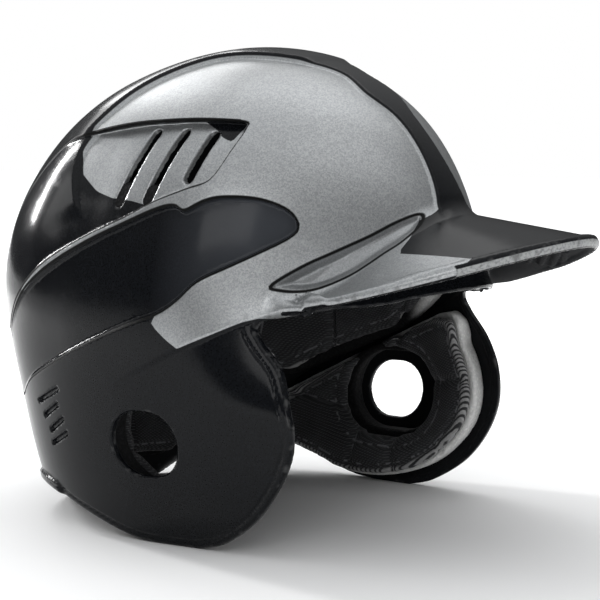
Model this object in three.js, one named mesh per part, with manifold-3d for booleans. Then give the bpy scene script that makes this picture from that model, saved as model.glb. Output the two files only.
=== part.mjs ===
// Batting helmet with a moulded bill, two ear flaps and a two-layer foam liner.
//
// Millimetres, +Z up, the front of the helmet towards -Y and the wearer's left towards +X.
// The helmet stands on the lowest points of its ear flaps and on its nape, at Z = 0.
//
// The dome is a star-shaped surface around CENTRE. Three meridians give its radius by the
// angle down from the crown, a superellipse joins them, and a taper narrows the forehead.
// The shell is that surface thickened inwards and trimmed to the rim's outline in side view.
// Every pad is a patch between two offsets of the same surface, trimmed to its own outline.

import * as THREE from 'three';
import { mergeVertices } from 'three/addons/utils/BufferGeometryUtils.js';
import Module from 'manifold-3d';

const wasm = await Module();
wasm.setup();

// ---- Driving dimensions -------------------------------------------------------------------

const CENTRE = new THREE.Vector3(0, 21.5, 105);

// Outer profiles as [distance from the middle plane, height], crown first.
const FRONT_PROFILE = [
  [21.5, 210], [-16, 204], [-46, 187], [-66, 165], [-79, 140], [-87, 115], [-98, 90],
  [-116, 50], [-128, 0], [-135, -40],
];
const SIDE_PROFILE = [
  [0, 210], [40, 201], [72, 181], [93, 152], [103, 122], [106, 92], [104, 60], [98, 28],
  [88, 0], [74, -40],
];
const BACK_PROFILE = [
  [21.5, 210], [60, 203.5], [97, 187], [125, 162], [141, 133], [145.5, 105], [136, 65],
  [127, 32], [119, 0], [106, -40],
];
const PLAN_POWER = 2.2;
const TAPER_START_Y = 0;
const TAPER_LENGTH = 99;
const TAPER_Z = [60, 120];

const SHELL_THICKNESS = 3.5;
const FOAM_GAP = 0.9;
const LAYER_GAP = 0.4;
const HEAD_FOAM = 9;
const HEAD_PAD = 7;
const JAW_FOAM = 9;
const JAW_PAD = 7.5;

// Lower rim of the shell in side view, [Y, Z], from the nape forward to the brow.
const RIM_CURVES = [
  [[114, 0], [111, 5], [107, 11], [101, 15], [90, 17], [72, 15], [56, 10], [38, 4], [27, 1.2],
    [16, 0]],
  [[-6, 0], [-20, 4], [-38, 16.5], [-51, 35], [-55, 53], [-49, 76], [-39, 89], [-36, 96], [-45, 101],
    [-70, 103], [-86, 107], [-140, 116]],
];
const RIM_CURVE_STEPS = 24;

const EAR_HOLE = { y: 11, z: 45, halfLength: 16.5, halfHeight: 14 };
const EAR_PAD_HOLE = { y: 5, z: 46, halfLength: 25, halfHeight: 19 };

// Vent slots of one side, each from its upper end to its lower end in side view.
const VENT_SLOTS = [
  { from: [25, 172], to: [31, 146], width: 4.5 },
  { from: [10, 172], to: [16, 147], width: 4.5 },
  { from: [-4, 171], to: [-1, 155], width: 4.5 },
];

// The raised spine: [angle from the crown towards the back in degrees, half width, height].
const SPINE_STATIONS = [
  [-68, 12, 1.5], [-50, 9, 2], [-34, 12, 2], [-20, 21, 2], [0, 25, 2], [30, 27, 2], [55, 26, 1.5],
  [74, 18, 0.3],
];

const BILL = {
  thickness: 4.5,
  root: { halfWidth: 68, y: -40, reach: 34, z: 141, drop: 43, span: 75 },
  edge: { halfWidth: 77, y: -51, reach: 94.5, point: 1.15, z: 132, sweep: 27 },
};

// ---- Dome surface --------------------------------------------------------------------------

/** Natural cubic spline through knots [x, y] that rise in x; constant beyond the ends. */
function naturalSpline(knots) {
  const count = knots.length;
  const step = (i) => knots[i + 1][0] - knots[i][0];
  const slope = (i) => (knots[i + 1][1] - knots[i][1]) / step(i);
  const upper = new Array(count).fill(0);
  const bend = new Array(count).fill(0);
  for (let i = 1; i < count - 1; i++) {
    const pivot = 2 * (step(i - 1) + step(i)) - step(i - 1) * upper[i - 1];
    upper[i] = step(i) / pivot;
    bend[i] = (6 * (slope(i) - slope(i - 1)) - step(i - 1) * bend[i - 1]) / pivot;
  }
  for (let i = count - 2; i > 0; i--) {
    bend[i] -= upper[i] * bend[i + 1];
  }
  return (x) => {
    const inside = THREE.MathUtils.clamp(x, knots[0][0], knots[count - 1][0]);
    let i = 0;
    while (i < count - 2 && inside > knots[i + 1][0]) {
      i += 1;
    }
    const h = step(i);
    const before = inside - knots[i][0];
    const after = knots[i + 1][0] - inside;
    const cubic = (bend[i] * after ** 3 + bend[i + 1] * before ** 3) / (6 * h);
    const left = (knots[i][1] / h - (bend[i] * h) / 6) * after;
    const right = (knots[i + 1][1] / h - (bend[i + 1] * h) / 6) * before;
    return cubic + left + right;
  };
}

/** Radius about CENTRE by the angle from the crown, mirrored so that the crown is level. */
function meridian(profile, middle, sign) {
  const knots = profile.map(([out, z]) => {
    const across = sign * (out - middle);
    const up = z - CENTRE.z;
    return [Math.atan2(across, up), Math.hypot(across, up)];
  });
  const mirrored = knots.slice(1).map(([angle, radius]) => [-angle, radius]).reverse();
  return naturalSpline([...mirrored, ...knots]);
}

const frontMeridian = meridian(FRONT_PROFILE, CENTRE.y, -1);
const sideMeridian = meridian(SIDE_PROFILE, 0, 1);
const backMeridian = meridian(BACK_PROFILE, CENTRE.y, 1);

function domeRadius(direction) {
  const across = Math.hypot(direction.x, direction.y);
  const angle = Math.atan2(across, direction.z);
  if (across < 1e-9) {
    return sideMeridian(angle);
  }
  const sideways = Math.abs(direction.x) / across;
  const backwards = direction.y / across;
  const blend = 0.5 + 0.5 * backwards * (1.5 - 0.5 * backwards ** 2);
  const lengthwise = frontMeridian(angle) * (1 - blend) + backMeridian(angle) * blend;
  const power = 2 + (PLAN_POWER - 2) * Math.sin(angle) ** 2;
  const side = (sideways / sideMeridian(angle)) ** power;
  const length = (Math.abs(backwards) / lengthwise) ** power;
  return (side + length) ** (-1 / power);
}

/** How much the forehead is narrowed at a place on the dome. */
function taper(y, z) {
  const high = THREE.MathUtils.smoothstep(z, TAPER_Z[0], TAPER_Z[1]);
  const forward = Math.max(0, TAPER_START_Y - y) / TAPER_LENGTH;
  return 1 - high * (1 - 1 / (1 + forward ** 2));
}

function domePoint(direction) {
  const point = direction.clone().normalize();
  point.multiplyScalar(domeRadius(point)).add(CENTRE);
  point.x *= taper(point.y, point.z);
  return point;
}

/** Point at a depth below the outer surface, measured along the surface normal. */
function depthPoint(direction, depth) {
  const unit = direction.clone().normalize();
  const helper = Math.abs(unit.z) < 0.9 ? new THREE.Vector3(0, 0, 1) : new THREE.Vector3(1, 0, 0);
  const first = new THREE.Vector3().crossVectors(helper, unit).normalize();
  const second = new THREE.Vector3().crossVectors(unit, first);
  const reach = 0.01;
  const along = (tangent) => {
    const ahead = domePoint(unit.clone().addScaledVector(tangent, reach));
    return ahead.sub(domePoint(unit.clone().addScaledVector(tangent, -reach)));
  };
  const normal = new THREE.Vector3().crossVectors(along(first), along(second)).normalize();
  return domePoint(unit).addScaledVector(normal, -depth);
}

// ---- Closed meshes and booleans --------------------------------------------------------------

function solidFromGeometry(geometry) {
  const bare = geometry.clone();
  bare.deleteAttribute('normal');
  bare.deleteAttribute('uv');
  const merged = mergeVertices(bare, 1e-4);
  const vertProperties = new Float32Array(merged.attributes.position.array);
  const triVerts = new Uint32Array(merged.index.array);
  return new wasm.Manifold(new wasm.Mesh({ numProp: 3, vertProperties, triVerts }));
}

function geometryFromSolid(solid) {
  const result = solid.getMesh();
  const geometry = new THREE.BufferGeometry();
  geometry.setAttribute('position', new THREE.BufferAttribute(result.vertProperties, 3));
  geometry.setIndex(new THREE.BufferAttribute(result.triVerts, 1));
  geometry.computeVertexNormals();
  return geometry;
}

function solidFromArrays(positions, indices) {
  const geometry = new THREE.BufferGeometry();
  geometry.setAttribute('position', new THREE.Float32BufferAttribute(positions, 3));
  geometry.setIndex(indices);
  return solidFromGeometry(geometry);
}

/** The whole dome surface at a depth, closed below the rim, as a ball-like solid. */
function domeBody(depth, around, down) {
  const positions = [...depthPoint(new THREE.Vector3(0, 0, 1), depth).toArray()];
  const indices = [];
  const place = (ring, i) => 1 + (ring - 1) * around + (i % around);
  for (let ring = 1; ring < down; ring++) {
    for (let i = 0; i < around; i++) {
      const direction = new THREE.Vector3().setFromSphericalCoords(
        1, (Math.PI * ring) / down, (2 * Math.PI * i) / around);
      direction.set(direction.x, -direction.z, direction.y);
      positions.push(...depthPoint(direction, depth).toArray());
    }
  }
  positions.push(...depthPoint(new THREE.Vector3(0, 0, -1), depth).toArray());
  const last = positions.length / 3 - 1;
  for (let i = 0; i < around; i++) {
    indices.push(0, place(1, i), place(1, i + 1));
    indices.push(last, place(down - 1, i + 1), place(down - 1, i));
    for (let ring = 1; ring < down - 1; ring++) {
      indices.push(place(ring, i), place(ring + 1, i), place(ring + 1, i + 1));
      indices.push(place(ring, i), place(ring + 1, i + 1), place(ring, i + 1));
    }
  }
  return solidFromArrays(positions, indices);
}

/** A closed slab between two grids of points; point(u, v, face) has face 0 outside, 1 inside. */
function slab(point, columns, rows) {
  const positions = [];
  const indices = [];
  for (let face = 0; face < 2; face++) {
    for (let j = 0; j <= rows; j++) {
      for (let i = 0; i <= columns; i++) {
        positions.push(...point(i / columns, j / rows, face).toArray());
      }
    }
  }
  const place = (i, j, face) => (face * (rows + 1) + j) * (columns + 1) + i;
  const quad = (a, b, c, d) => indices.push(a, b, c, a, c, d);
  for (let j = 0; j < rows; j++) {
    for (let i = 0; i < columns; i++) {
      quad(place(i, j, 0), place(i + 1, j, 0), place(i + 1, j + 1, 0), place(i, j + 1, 0));
      quad(place(i, j, 1), place(i, j + 1, 1), place(i + 1, j + 1, 1), place(i + 1, j, 1));
    }
  }
  for (let i = 0; i < columns; i++) {
    quad(place(i, 0, 0), place(i, 0, 1), place(i + 1, 0, 1), place(i + 1, 0, 0));
    quad(place(i, rows, 0), place(i + 1, rows, 0), place(i + 1, rows, 1), place(i, rows, 1));
  }
  for (let j = 0; j < rows; j++) {
    quad(place(0, j, 0), place(0, j + 1, 0), place(0, j + 1, 1), place(0, j, 1));
    quad(place(columns, j, 0), place(columns, j, 1), place(columns, j + 1, 1),
      place(columns, j + 1, 0));
  }
  return solidFromArrays(positions, indices);
}

/** Bring an extrusion along +Z to run along X, with the outline in [Y, Z]. */
function turnToSide(geometry) {
  const turned = new THREE.Matrix4().makeBasis(
    new THREE.Vector3(0, 1, 0), new THREE.Vector3(0, 0, 1), new THREE.Vector3(1, 0, 0));
  return geometry.applyMatrix4(turned);
}

/** Bring an extrusion along +Z to run along -Y, with the outline in [X, Z]. */
function turnToFront(geometry) {
  return geometry.rotateX(Math.PI / 2);
}

const HALF_SPAN = 250;

/** A long prism that runs right through the helmet, to cut or to trim with. */
function prism(shape, turn, curveSegments = 4) {
  const depth = 2 * HALF_SPAN;
  const geometry = new THREE.ExtrudeGeometry(shape, { depth, bevelEnabled: false, curveSegments });
  geometry.translate(0, 0, -HALF_SPAN);
  return solidFromGeometry(turn(geometry));
}

function stayInPlan(geometry) {
  return geometry;
}

/** Closed outline through corner points, each corner rounded by the given length. */
function roundedOutline(corners, rounding) {
  const shape = new THREE.Shape();
  const points = corners.map(([x, y]) => new THREE.Vector2(x, y));
  points.forEach((corner, i) => {
    const before = points[(i + points.length - 1) % points.length];
    const after = points[(i + 1) % points.length];
    const arrive = corner.clone().add(before.clone().sub(corner).setLength(rounding));
    const leave = corner.clone().add(after.clone().sub(corner).setLength(rounding));
    if (i === 0) {
      shape.moveTo(arrive.x, arrive.y);
    } else {
      shape.lineTo(arrive.x, arrive.y);
    }
    shape.quadraticCurveTo(corner.x, corner.y, leave.x, leave.y);
  });
  shape.closePath();
  return shape;
}

// ---- Shell ---------------------------------------------------------------------------------

function rimOutline() {
  const shape = new THREE.Shape();
  RIM_CURVES.forEach((curve, i) => {
    const points = curve.map(([y, z]) => new THREE.Vector2(y, z));
    const steps = new THREE.SplineCurve(points).getSpacedPoints(RIM_CURVE_STEPS);
    steps.forEach((point, j) => {
      if (i === 0 && j === 0) {
        shape.moveTo(point.x, point.y);
      } else {
        shape.lineTo(point.x, point.y);
      }
    });
  });
  shape.lineTo(-HALF_SPAN, 116);
  shape.lineTo(-HALF_SPAN, HALF_SPAN);
  shape.lineTo(HALF_SPAN, HALF_SPAN);
  shape.lineTo(HALF_SPAN, 0);
  shape.closePath();
  return shape;
}

const HOLE_SEGMENTS = 9;

function ellipseOutline({ y, z, halfLength, halfHeight }) {
  const shape = new THREE.Shape();
  shape.absellipse(y, z, halfLength, halfHeight, 0, 2 * Math.PI);
  return shape;
}

function slotOutline({ from, to, width }) {
  const start = new THREE.Vector2(...from);
  const end = new THREE.Vector2(...to);
  const angle = end.clone().sub(start).angle();
  const shape = new THREE.Shape();
  shape.absarc(end.x, end.y, width / 2, angle - Math.PI / 2, angle + Math.PI / 2);
  shape.absarc(start.x, start.y, width / 2, angle + Math.PI / 2, angle + 1.5 * Math.PI);
  shape.closePath();
  return shape;
}

/** Where the bill leaves the forehead: strongly arched from one temple to the other. */
function billRoot(swing) {
  const { halfWidth, y, reach, z, drop, span } = BILL.root;
  const x = Math.sin(swing) * halfWidth;
  const fall = drop * (1 - Math.cos((x / span) * (Math.PI / 2)));
  return new THREE.Vector3(x, y - reach * Math.cos(swing), z - fall);
}

/** The bill's free edge: flatter than the root, and lower at the sides than at its tip. */
function billEdge(swing) {
  const { halfWidth, y, reach, point, z, sweep } = BILL.edge;
  const forward = Math.max(0, Math.cos(swing)) ** point;
  const x = Math.sin(swing) * halfWidth;
  return new THREE.Vector3(x, y - reach * forward, z - sweep * (1 - forward));
}

/** The bill: u runs across it and v from inside the forehead to its free edge. */
function billPoint(u, v, face) {
  const swing = Math.PI * (0.5 - u);
  const point = billRoot(swing).lerp(billEdge(swing), v);
  point.z -= BILL.thickness * face;
  return point;
}

const spineHalfWidth = naturalSpline(SPINE_STATIONS.map(([angle, width]) => [angle, width]));
const spineHeight = naturalSpline(SPINE_STATIONS.map(([angle, , height]) => [angle, height]));

/** The raised spine that runs from the bill over the crown to the back. */
function spinePoint(u, v, face) {
  const first = SPINE_STATIONS[0][0];
  const last = SPINE_STATIONS[SPINE_STATIONS.length - 1][0];
  const degrees = THREE.MathUtils.lerp(first, last, v);
  const halfWidth = spineHalfWidth(degrees);
  const angle = THREE.MathUtils.degToRad(degrees);
  const reach = domeRadius(new THREE.Vector3(0, Math.sin(angle), Math.cos(angle)));
  const sideways = (halfWidth * (2 * u - 1)) / reach;
  const direction = new THREE.Vector3(sideways, Math.sin(angle), Math.cos(angle));
  return depthPoint(direction, face === 0 ? -spineHeight(degrees) : SHELL_THICKNESS / 2);
}

function shellGeometry() {
  const around = 44;
  const down = 24;
  let shell = domeBody(0, around, down).intersect(prism(rimOutline(), turnToSide));
  shell = shell.add(slab(billPoint, 18, 3));
  shell = shell.subtract(domeBody(SHELL_THICKNESS, around, down));
  shell = shell.add(slab(spinePoint, 2, 14));
  shell = shell.subtract(prism(ellipseOutline(EAR_HOLE), turnToSide, HOLE_SEGMENTS));
  for (const slot of VENT_SLOTS) {
    shell = shell.subtract(prism(slotOutline(slot), turnToSide));
  }
  return geometryFromSolid(shell);
}

// ---- Liner ---------------------------------------------------------------------------------

const radians = THREE.MathUtils.degToRad;

/** Directions over a patch of the dome: turn is the compass angle from +X, down from the crown. */
function patchDirection(patch, u, v) {
  const turn = radians(THREE.MathUtils.lerp(patch.turn[0], patch.turn[1], u));
  const down = radians(THREE.MathUtils.lerp(patch.down[1], patch.down[0], v));
  const level = Math.sin(down);
  return new THREE.Vector3(level * Math.cos(turn), level * Math.sin(turn), Math.cos(down));
}

/** Directions over the crown, as a square grid seen from above. */
function crownDirection(patch, u, v) {
  const x = patch.halfSpan * (2 * u - 1);
  const y = patch.halfSpan * (2 * v - 1);
  return new THREE.Vector3(x, y, CENTRE.z);
}

/** One liner layer: the patch between two depths, trimmed to its outline and its hole. */
function linerGeometry(place, shallow, deep) {
  const direction = place.patch.halfSpan ? crownDirection : patchDirection;
  const point = (u, v, face) =>
    depthPoint(direction(place.patch, u, v), face === 0 ? shallow : deep);
  let layer = slab(point, place.patch.columns, place.patch.rows);
  layer = layer.intersect(prism(roundedOutline(place.corners, place.rounding), place.turn));
  if (place.hole) {
    layer = layer.subtract(prism(ellipseOutline(place.hole), place.turn, HOLE_SEGMENTS));
  }
  return geometryFromSolid(layer);
}

const FOAM_TOP = SHELL_THICKNESS + FOAM_GAP;

const sidePatch = (turn) => ({ turn, down: [48, 128], columns: 8, rows: 6 });
const jawPatch = (turn) => ({ turn, down: [84, 158], columns: 8, rows: 5 });

const JAW_CORNERS = [
  [-29, 88], [-46, 74], [-51, 50], [-44, 30], [-22, 11], [2, 4.5], [26, 4.5], [48, 11.5], [70, 19.5],
  [70, 41],
];
const SIDE_CORNERS = [[-44, 112], [-18, 94], [70, 50], [86, 66], [86, 132], [40, 154], [-30, 150]];

const PLACES = {
  brow: {
    patch: { turn: [-140, -40], down: [58, 96], columns: 8, rows: 3 },
    corners: [[-40, 114], [0, 110], [40, 114], [35, 147], [-35, 147]],
    rounding: 10,
    turn: turnToFront,
    foam: HEAD_FOAM,
    pad: HEAD_PAD,
  },
  crown: {
    patch: { halfSpan: 62, columns: 6, rows: 6 },
    corners: [[-38, -24], [38, -24], [42, 30], [34, 78], [-34, 78], [-42, 30]],
    rounding: 16,
    turn: stayInPlan,
    foam: HEAD_FOAM,
    pad: HEAD_PAD,
  },
  rear: {
    patch: { turn: [42, 138], down: [56, 120], columns: 7, rows: 5 },
    corners: [[-50, 66], [50, 66], [50, 120], [40, 152], [-40, 152], [-50, 120]],
    rounding: 12,
    turn: turnToFront,
    foam: HEAD_FOAM,
    pad: HEAD_PAD,
  },
  nape: {
    patch: { turn: [42, 138], down: [112, 146], columns: 7, rows: 3 },
    corners: [[-46, 19], [-26, 12], [26, 12], [46, 19], [46, 58], [-46, 58]],
    rounding: 8,
    turn: turnToFront,
    foam: HEAD_FOAM,
    pad: HEAD_PAD,
  },
  side_left: {
    patch: sidePatch([-62, 48]),
    corners: SIDE_CORNERS,
    rounding: 10,
    turn: turnToSide,
    foam: HEAD_FOAM,
    pad: HEAD_PAD,
  },
  side_right: {
    patch: sidePatch([132, 242]),
    corners: SIDE_CORNERS,
    rounding: 10,
    turn: turnToSide,
    foam: HEAD_FOAM,
    pad: HEAD_PAD,
  },
  jaw_left: {
    patch: jawPatch([-56, 42]),
    corners: JAW_CORNERS,
    rounding: 6,
    turn: turnToSide,
    hole: EAR_PAD_HOLE,
    foam: JAW_FOAM,
    pad: JAW_PAD,
  },
  jaw_right: {
    patch: jawPatch([138, 236]),
    corners: JAW_CORNERS,
    rounding: 6,
    turn: turnToSide,
    hole: EAR_PAD_HOLE,
    foam: JAW_FOAM,
    pad: JAW_PAD,
  },
};

// ---- Materials and assembly ----------------------------------------------------------------

const shellPlastic = () => new THREE.MeshStandardMaterial({
  color: 0x9a9da0, roughness: 0.25, metalness: 0.3,
});
const impactFoam = () => new THREE.MeshStandardMaterial({ color: 0xc9cbcc, roughness: 0.9, metalness: 0 });
const padFabric = () => new THREE.MeshStandardMaterial({ color: 0x141416, roughness: 0.95, metalness: 0 });

const helmet = new THREE.Group();

function addPart(name, geometry, material) {
  const mesh = new THREE.Mesh(geometry, material);
  mesh.name = name;
  helmet.add(mesh);
}

addPart('shell', shellGeometry(), shellPlastic());
for (const [name, place] of Object.entries(PLACES)) {
  const padTop = FOAM_TOP + place.foam + LAYER_GAP;
  addPart(`${name}_foam`, linerGeometry(place, FOAM_TOP, FOAM_TOP + place.foam), impactFoam());
  addPart(`${name}_pad`, linerGeometry(place, padTop, padTop + place.pad), padFabric());
}

export default helmet;
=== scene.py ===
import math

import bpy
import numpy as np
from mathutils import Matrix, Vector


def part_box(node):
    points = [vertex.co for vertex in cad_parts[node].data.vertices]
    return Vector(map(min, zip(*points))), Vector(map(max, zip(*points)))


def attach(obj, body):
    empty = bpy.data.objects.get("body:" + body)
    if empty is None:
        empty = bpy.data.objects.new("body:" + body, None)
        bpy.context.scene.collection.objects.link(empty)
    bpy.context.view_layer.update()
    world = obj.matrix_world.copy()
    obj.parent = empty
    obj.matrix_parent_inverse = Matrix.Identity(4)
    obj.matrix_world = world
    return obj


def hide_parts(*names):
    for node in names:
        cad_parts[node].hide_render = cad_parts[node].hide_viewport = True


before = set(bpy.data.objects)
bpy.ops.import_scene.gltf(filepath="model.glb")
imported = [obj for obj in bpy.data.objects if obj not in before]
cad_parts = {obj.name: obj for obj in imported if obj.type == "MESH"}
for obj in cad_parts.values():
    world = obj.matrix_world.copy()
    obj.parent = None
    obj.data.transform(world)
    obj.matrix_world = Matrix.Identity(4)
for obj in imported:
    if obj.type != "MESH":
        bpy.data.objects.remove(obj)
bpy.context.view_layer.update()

# A batting helmet: a sculpted two-tone shell over a liner of impact foam and fabric pads.
#
# Shapes are worked out in millimetres in the CAD frame (+Z up, the bill towards -Y) and turned
# into metres when a mesh is made. The shell, the foam and the pads are all implicit solids:
# functions that are negative inside, sampled on a voxel grid, meshed, and pulled back on to the
# exact surface. They share one dome, whose profiles are the CAD shell's own driving dimensions.

import openvdb
from mathutils import Matrix

MM = 0.001

# ---- Driving dimensions (mm), as in the CAD model ----------------------------------------------

CENTRE = np.array([0.0, 21.5, 105.0])
FRONT_PROFILE = [
    (21.5, 210), (-16, 204), (-46, 187), (-66, 165), (-79, 140), (-87, 115), (-98, 90),
    (-116, 50), (-128, 0), (-135, -40),
]
SIDE_PROFILE = [
    (0, 210), (40, 201), (72, 181), (93, 152), (103, 122), (106, 92), (104, 60), (98, 28),
    (88, 0), (74, -40),
]
BACK_PROFILE = [
    (21.5, 210), (60, 203.5), (97, 187), (125, 162), (141, 133), (145.5, 105), (136, 65),
    (127, 32), (119, 0), (106, -40),
]
PLAN_POWER = 2.2
TAPER_START_Y = 0.0
TAPER_LENGTH = 99.0
TAPER_Z = (60.0, 120.0)

SHELL_THICKNESS = 3.5

RIM_REAR = [
    (114, 0), (111, 5), (107, 11), (101, 15), (90, 17), (72, 15), (56, 10), (38, 4), (27, 1.2),
    (16, 0),
]
RIM_FRONT = [
    (-6, 0), (-20, 4), (-38, 16.5), (-51, 35), (-55, 53), (-49, 76), (-39, 89), (-36, 96),
    (-45, 101), (-70, 103), (-86, 107), (-140, 116),
]

# ---- Small mathematics -------------------------------------------------------------------------


def natural_spline(knots, samples=2000):
    """Natural cubic spline through (x, y) knots, as a fast table look-up."""
    xs, ys = np.array(knots, float).T
    steps = np.diff(xs)
    slopes = np.diff(ys) / steps
    count = len(xs)
    matrix = np.eye(count)
    right = np.zeros(count)
    for i in range(1, count - 1):
        matrix[i, i - 1:i + 2] = steps[i - 1], 2 * (steps[i - 1] + steps[i]), steps[i]
        right[i] = 6 * (slopes[i] - slopes[i - 1])
    bends = np.linalg.solve(matrix, right)
    grid = np.linspace(xs[0], xs[-1], samples)
    i = np.clip(np.searchsorted(xs, grid, side="right") - 1, 0, count - 2)
    before = grid - xs[i]
    after = xs[i + 1] - grid
    step = steps[i]
    values = (bends[i] * after ** 3 + bends[i + 1] * before ** 3) / (6 * step)
    values += (ys[i] / step - bends[i] * step / 6) * after
    values += (ys[i + 1] / step - bends[i + 1] * step / 6) * before
    return lambda x: np.interp(x, grid, values)


def smooth_curve(points, closed=False, steps=10):
    """Catmull-Rom curve through points, as a polyline."""
    pts = np.array(points, float)
    if closed:
        pts = np.vstack([pts[-1], pts, pts[:2]])
    else:
        pts = np.vstack([2 * pts[0] - pts[1], pts, 2 * pts[-1] - pts[-2]])
    t = np.linspace(0, 1, steps, endpoint=False)[:, None]
    spans = []
    for p0, p1, p2, p3 in zip(pts, pts[1:], pts[2:], pts[3:]):
        linear = (p2 - p0) * t
        square = (2 * p0 - 5 * p1 + 4 * p2 - p3) * t ** 2
        cube = (3 * p1 - p0 - 3 * p2 + p3) * t ** 3
        spans.append(p1 + 0.5 * (linear + square + cube))
    curve = np.vstack(spans)
    return curve if closed else np.vstack([curve, pts[-2]])


def ramp(value, low, high):
    """Smooth step from 0 at low to 1 at high (low may be the larger one)."""
    t = np.clip((value - low) / (high - low), 0, 1)
    return t * t * (3 - 2 * t)


def round_max(a, b, radius):
    """Intersection of two solids with its edge rounded to a radius."""
    u = np.maximum(a + radius, 0)
    v = np.maximum(b + radius, 0)
    return np.minimum(np.maximum(a, b), -radius) + np.hypot(u, v)


def round_min(a, b, radius):
    """Union of two solids with its inner corner filled to a radius."""
    return -round_max(-a, -b, radius)


# ---- Outlines drawn in one view, kept as distance maps -----------------------------------------


class ViewMap:
    """A value on a flat grid, read back at any place by linear interpolation."""

    STEP = 0.5

    def __init__(self, low, high):
        self.low = np.array(low, float)
        self.shape = tuple(int(n) + 2 for n in (np.array(high) - self.low) / self.STEP)
        u = self.low[0] + self.STEP * np.arange(self.shape[0])
        v = self.low[1] + self.STEP * np.arange(self.shape[1])
        self.u, self.v = np.meshgrid(u, v, indexing="ij")
        self.value = np.zeros(self.shape)

    def read(self, u, v):
        a = np.clip((u - self.low[0]) / self.STEP, 0, self.shape[0] - 1.001)
        b = np.clip((v - self.low[1]) / self.STEP, 0, self.shape[1] - 1.001)
        i, j = a.astype(int), b.astype(int)
        a, b = a - i, b - j
        near = self.value[i, j] * (1 - b) + self.value[i, j + 1] * b
        far = self.value[i + 1, j] * (1 - b) + self.value[i + 1, j + 1] * b
        return near * (1 - a) + far * a


def line_distance(view, points):
    """Distance from every place of a view to a polyline."""
    best = np.full(view.shape, np.inf)
    for (ax, ay), (bx, by) in zip(points, points[1:]):
        dx, dy = bx - ax, by - ay
        length = max(dx * dx + dy * dy, 1e-12)
        t = np.clip(((view.u - ax) * dx + (view.v - ay) * dy) / length, 0, 1)
        best = np.minimum(best, (view.u - ax - t * dx) ** 2 + (view.v - ay - t * dy) ** 2)
    return np.sqrt(best)


def nearest_line(view, lines):
    """Distance from every place of a view to the nearest of several polylines."""
    nearest = np.full(view.shape, FAR)
    for line in lines:
        nearest = np.minimum(nearest, line_distance(view, np.array(line, float)))
    return nearest


def area_distance(view, points):
    """Signed distance to a closed outline, negative inside."""
    ring = np.vstack([points, points[:1]])
    inside = np.zeros(view.shape, bool)
    for (ax, ay), (bx, by) in zip(ring, ring[1:]):
        if ay == by:
            continue
        crosses = (view.v >= min(ay, by)) & (view.v < max(ay, by))
        inside ^= crosses & (view.u < ax + (view.v - ay) * (bx - ax) / (by - ay))
    distance = line_distance(view, ring)
    return np.where(inside, -distance, distance)


FAR = 99.0
SIDE_LOW, SIDE_HIGH = (-156, -14), (156, 226)
PLAN_LOW, PLAN_HIGH = (-110, -160), (110, 10)


def side_map(value_of):
    view = ViewMap(SIDE_LOW, SIDE_HIGH)
    view.value = value_of(view)
    return view


# ---- The dome ----------------------------------------------------------------------------------


def meridian(profile, middle, sign):
    knots = [
        (math.atan2(sign * (out - middle), z - CENTRE[2]), math.hypot(out - middle, z - CENTRE[2]))
        for out, z in profile
    ]
    mirrored = [(-angle, radius) for angle, radius in reversed(knots[1:])]
    return natural_spline(mirrored + knots)


front_radius = meridian(FRONT_PROFILE, CENTRE[1], -1)
side_radius = meridian(SIDE_PROFILE, 0.0, 1)
back_radius = meridian(BACK_PROFILE, CENTRE[1], 1)


def taper(y, z):
    forward = np.maximum(0, TAPER_START_Y - y) / TAPER_LENGTH
    return 1 - ramp(z, *TAPER_Z) * (1 - 1 / (1 + forward ** 2))


def dome_radius(x, y, z):
    """Radius of the dome about CENTRE in the direction (x, y, z)."""
    across = np.maximum(np.hypot(x, y), 1e-6)
    angle = np.arctan2(across, z)
    sideways = np.abs(x) / across
    backwards = y / across
    blend = 0.5 + 0.5 * backwards * (1.5 - 0.5 * backwards ** 2)
    lengthwise = front_radius(angle) * (1 - blend) + back_radius(angle) * blend
    power = 2 + (PLAN_POWER - 2) * np.sin(angle) ** 2
    side = np.maximum(sideways / side_radius(angle), 1e-9) ** power
    length = np.maximum(np.abs(backwards) / lengthwise, 1e-9) ** power
    return (side + length) ** (-1 / power)


def dome_level(x, y, z):
    """Radial height above the dome; zero on it, but not a true distance away from it."""
    across = x / taper(y, z)
    back = y - CENTRE[1]
    up = z - CENTRE[2]
    return np.sqrt(across ** 2 + back ** 2 + up ** 2) - dome_radius(across, back, up)


def dome_distance(x, y, z):
    """Distance outside the dome's surface, negative inside."""
    reach = 0.5
    level = dome_level(x, y, z)
    slope_x = dome_level(x + reach, y, z) - level
    slope_y = dome_level(x, y + reach, z) - level
    slope_z = dome_level(x, y, z + reach) - level
    steepness = np.sqrt(slope_x ** 2 + slope_y ** 2 + slope_z ** 2) / reach
    return level / np.maximum(steepness, 0.2)


# ---- Meshing an implicit solid -----------------------------------------------------------------


TETRA = np.array([(1, 1, 1), (1, -1, -1), (-1, 1, -1), (-1, -1, 1)], float)


def field_and_gradient(field, points, reach=0.12):
    """Value and gradient of a field from four samples around each point."""
    value = np.zeros(len(points))
    gradient = np.zeros_like(points)
    for corner in TETRA:
        sample = field(*(points + reach * corner).T)
        value += sample / 4
        gradient += sample[:, None] * corner / (4 * reach)
    return value, gradient


def pull_to_surface(field, points, most, rounds=2):
    for _ in range(rounds):
        value, gradient = field_and_gradient(field, points)
        steep = np.maximum((gradient ** 2).sum(axis=1), 0.05)
        move = (value / steep)[:, None] * gradient
        length = np.linalg.norm(move, axis=1, keepdims=True)
        points = points - move * np.minimum(1, most / np.maximum(length, 1e-9))
    return points


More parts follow.
